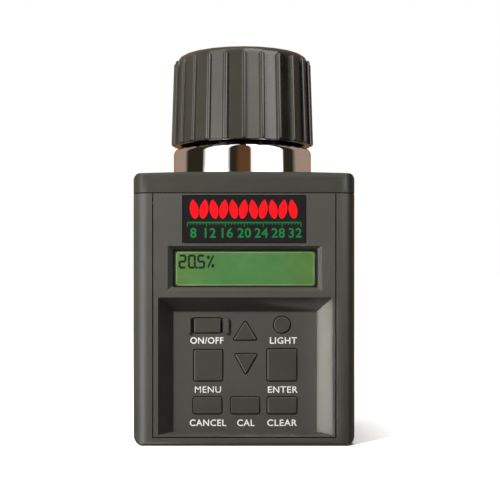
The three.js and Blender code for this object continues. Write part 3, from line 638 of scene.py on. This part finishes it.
spring_lo, spring_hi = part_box("plate_spring")
wire = bmesh.new()
turns, steps = 5, 240
wire_r, coil_r = 0.6 * mm, 7.6 * mm
free_end = spring_lo.z + 4.3 * mm  # the plate's travel and a little more, left free
wire_ring = bmesh.ops.create_circle(wire, cap_ends=True, segments=12, radius=wire_r)["verts"]
bmesh.ops.rotate(wire, verts=wire_ring, matrix=Matrix.Rotation(math.radians(90), 3, "X"))
bmesh.ops.translate(wire, vec=(axis_at.x + coil_r, axis_at.y, free_end + wire_r), verts=wire_ring)
rise = (spring_hi.z - free_end - 2 * wire_r) / steps
bmesh.ops.spin(wire, geom=wire.faces[:], cent=axis_at, axis=(0, 0, 1), dvec=(0, 0, rise),
               angle=math.tau * turns, steps=steps)
bmesh.ops.remove_doubles(wire, verts=wire.verts, dist=1e-7)
bmesh.ops.recalc_face_normals(wire, faces=wire.faces)
finish_piece("press_spring", wire, steel, "cap_carrier", ["plate_spring"])


def dress(node, look):
    """Gives a carried-over CAD node its material."""
    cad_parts[node].data.materials.clear()
    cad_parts[node].data.materials.append(look)


for node in ("bush_ring", "plate_screw"):
    dress(node, steel)


# ---- Cell fittings ----
# The nylon floor disc and the steel centre electrode that stand in the grain, with the nut
# and rubber gasket below. They show once the cap is off.
nylon = moulded_plastic("natural_nylon", (0.62, 0.58, 0.47), 0.45, 2500, 0.08, 0.06, 0.02)
rubber = moulded_plastic("black_rubber", (0.012, 0.012, 0.012), 0.75, 2200, 0.2, 0.15, 0.1, 0.3)
finish_piece("centre_post", from_node("centre_electrode"), steel, "meter",
             ["centre_electrode"])
for node, look in (("cell_floor", nylon), ("cell_gasket", rubber), ("electrode_nut", brass)):
    dress(node, look)


# ---- Electronics ----
# Two green boards, the tin display frame with its white light guide, the rubber dome sheet
# and the amber flex that joins the boards. All are hidden inside the case.
board_green = moulded_plastic("board_green", (0.02, 0.16, 0.055), 0.35, 1200, 0.1, 0.2, 0.02)
guide_white = moulded_plastic("guide_white", (0.75, 0.78, 0.70), 0.5, 2500, 0.04, 0.04, 0.0)
flex_amber = moulded_plastic("flex_amber", (0.42, 0.17, 0.04), 0.3, 1500, 0.05, 0.1, 0.0)
for node, look in (("display_board", board_green), ("key_board", board_green), ("lcd_frame", steel),
                   ("lcd_backlight", guide_white), ("key_contact_sheet", rubber),
                   ("board_ribbon", flex_amber)):
    dress(node, look)


# ---- Battery door ----
# A flat black door, moulded in the case's plastic, with five thumb grooves near its top.
# It runs in grooves at the sides of the back opening and slides down off the case.
door_faces = from_node("battery_door")
bmesh.ops.triangulate(door_faces, faces=door_faces.faces)  # or the bevel folds the face round the grooves
door = finish_piece("battery_door_panel", door_faces, case_black, "door", ["battery_door"])
ease_edges(door, 0.15 * mm)


# ---- Battery compartment ----
# A matt black moulded tray behind the door holds the painted steel block battery. A rubber
# press-stud cap clips on its terminals, with one red and one black insulated lead.
tray_black = moulded_plastic("tray_black", (0.02, 0.02, 0.02), 0.55, 3000, 0.1, 0.1, 0.06)
can_grey = polished_metal("battery_can", (0.26, 0.26, 0.25), 0.35, (400, 400, 60), 0.05, 0.04, 0.6)
lead_red = moulded_plastic("lead_red", (0.42, 0.012, 0.01), 0.4, 3000, 0.04, 0.05, 0.02)
for node, look in (("battery_tray", tray_black), ("battery", can_grey), ("battery_snap", rubber),
                   ("battery_lead_red", lead_red), ("battery_lead_black", rubber)):
    dress(node, look)


# ---- Screws ----
# Zinc-plated cross-head screws: four long ones through the back, and the small ones that
# hold the boards and the cell.
for k in range(1, 5):
    node = "case_screw_%d" % k
    screw = finish_piece(node + "_plated", from_node(node), steel, "meter", [node])
    ease_edges(screw, 0.08 * mm)
for group, count in (("key_board", 4), ("display_board", 2), ("cell", 4)):
    for k in range(1, count + 1):
        dress("%s_screw_%d" % (group, k), steel)


# ---- Studio ----
# A white floor, two tall soft boxes for the reflections, a soft key high on the left, a broad
# overhead light, and two gridded strips that rake the right walls of the two front recesses.
floor_white = moulded_plastic("studio_floor", (0.88, 0.88, 0.88), 0.7, 300, 0.0, 0.0, 0.0)
ground = bmesh.new()
bmesh.ops.create_grid(ground, x_segments=1, y_segments=1, size=6)
bmesh.ops.translate(ground, vec=(0, 0, cad_box[0].z - 0.0002), verts=ground.verts)
ground_mesh = bpy.data.meshes.new("studio_floor")
ground.to_mesh(ground_mesh)
ground.free()
ground_mesh.materials.append(floor_white)
studio_floor = bpy.data.objects.new("studio_floor", ground_mesh)
bpy.context.scene.collection.objects.link(studio_floor)

world = bpy.data.worlds.new("studio_surround")
bpy.context.scene.world = world
world.use_nodes = True
wn, wl = world.node_tree.nodes, world.node_tree.links
wn.clear()
out = wn.new("ShaderNodeOutputWorld")
where = wn.new("ShaderNodeTexCoord")
split = wn.new("ShaderNodeSeparateXYZ")
wl.new(where.outputs["Generated"], split.inputs[0])
ahead = maths(wn, wl, "MULTIPLY", split.outputs["Y"], -1)
bearing = maths(wn, wl, "ARCTAN2", split.outputs["X"], ahead)
turn_share = ranged(wn, wl, bearing, 0.0, 1.0, -math.pi, math.pi)
rim, tan, dark, brown = (0.40, 0.20, 0.09), (0.36, 0.275, 0.225), (0.026, 0.021, 0.013), (0.115, 0.052, 0.022)


def band_ramp(stops):
    """Colours by compass bearing round the set, 0 being the camera's side and + its right."""
    node = wn.new("ShaderNodeValToRGB")
    for k, (angle, colour) in enumerate(stops):
        at = (angle + 180) / 360
        stop = node.color_ramp.elements[k] if k < 2 else node.color_ramp.elements.new(at)
        stop.position = at
        stop.color = (*colour, 1)
    wl.new(turn_share, node.inputs["Fac"])
    return node.outputs["Color"]


off, full = (0, 0, 0), (1, 1, 0.98)
backdrop = band_ramp([(-180, rim), (-160, rim), (-142, tan), (-112, tan), (-104, dark), (-70, dark),
                      (-24, dark), (-12, dark), (-6, brown), (12, brown), (20, dark), (90, dark), (100, tan),
                      (142, tan), (160, rim), (180, rim)])
left_box = band_ramp([(-180, off), (-70, off), (-62, full), (-27, full), (-21, off), (180, off)])
right_box = band_ramp([(-180, off), (12, off), (20, full), (64, full), (71, off), (180, off)])

lit = backdrop
height = split.outputs["Z"]
for box, power in ((left_box, ranged(wn, wl, height, 4.2, 1.5, 0.04, 0.17)),
                   (right_box, ranged(wn, wl, height, 0.0, 3.7, 0.02, 0.13))):
    total = wn.new("ShaderNodeVectorMath")
    total.operation = "ADD"
    wl.new(lit, total.inputs[0])
    wl.new(scaled(wn, wl, box, power), total.inputs[1])
    lit = total.outputs[0]
studio = wn.new("ShaderNodeBackground")
wl.new(lit, studio.inputs["Color"])
fill = wn.new("ShaderNodeBackground")
fill.inputs["Color"].default_value = (0.16, 0.155, 0.14, 1)
paper = wn.new("ShaderNodeBackground")
paper.inputs["Color"].default_value = (1, 1, 1, 1)
seen = wn.new("ShaderNodeLightPath")
mirror = wn.new("ShaderNodeMixShader")
wl.new(seen.outputs["Is Glossy Ray"], mirror.inputs["Fac"])
wl.new(fill.outputs[0], mirror.inputs[1])
wl.new(studio.outputs[0], mirror.inputs[2])
choose = wn.new("ShaderNodeMixShader")
wl.new(seen.outputs["Is Camera Ray"], choose.inputs["Fac"])
wl.new(mirror.outputs[0], choose.inputs[1])
wl.new(paper.outputs[0], choose.inputs[2])
wl.new(choose.outputs[0], out.inputs["Surface"])


def soft_light(name, place, size, power):
    """A rectangle of light aimed at the middle of the meter, unseen in reflections."""
    data = bpy.data.lights.new(name, "AREA")
    data.shape = "RECTANGLE"
    data.size, data.size_y = size
    data.energy = power
    lamp = bpy.data.objects.new(name, data)
    lamp.location = place
    aim = Vector((0, 0, 0.07)) - Vector(place)
    lamp.rotation_euler = aim.to_track_quat("-Z", "Y").to_euler()
    lamp.visible_glossy = False
    bpy.context.scene.collection.objects.link(lamp)
    return lamp


soft_light("left_key", (-0.185, -0.265, 0.215), (0.05, 0.05), 3.75)


def gridded_strip(name, target, size, power):
    """A narrow strip light with a honeycomb grid, raking one small wall."""
    away = math.radians(77)
    reach = 0.1
    travel = Vector((math.sin(away), math.cos(away), 0))
    lamp = soft_light(name, Vector(target) - travel * reach, size, power)
    lamp.rotation_euler = travel.to_track_quat("-Z", "Y").to_euler()
    lamp.data.spread = math.radians(3)
    lamp.visible_camera = False


gridded_strip("recess_wall_strip", (30.75 * mm, -32.1 * mm, 29 * mm), (8.4 * mm, 50 * mm), 0.014)
gridded_strip("window_edge_strip", (28.7 * mm, -35.1 * mm, 67 * mm), (2.0 * mm, 17 * mm), 0.0006)

overhead = bpy.data.lights.new("overhead", "SUN")
overhead.energy = 3.6
overhead.angle = math.radians(28)
overhead_lamp = bpy.data.objects.new("overhead", overhead)
overhead_lamp.location = (0, 0, 1.5)
overhead_lamp.visible_glossy = False
bpy.context.scene.collection.objects.link(overhead_lamp)
studio_floor.visible_diffuse = False
studio_floor.visible_glossy = False


# ---- Camera ----
# A level camera square to the front, 400 mm away, a little left of the middle and two thirds
# of the way up the case. The lens is shifted so that the whole meter stays in the frame.
view = bpy.data.cameras.new("camera")
view.sensor_width = 36
view.lens = 76.47
view.shift_x = 0.0576
view.shift_y = 0.03
view.clip_start = 0.01
camera = bpy.data.objects.new("camera", view)
camera.location = (-8.7 * mm, cad_box[0].y - 400 * mm, 68.2 * mm)
camera.rotation_euler = (math.radians(90), 0, 0)
bpy.context.scene.collection.objects.link(camera)
bpy.context.scene.camera = camera
bpy.context.scene.view_settings.view_transform = "Standard"
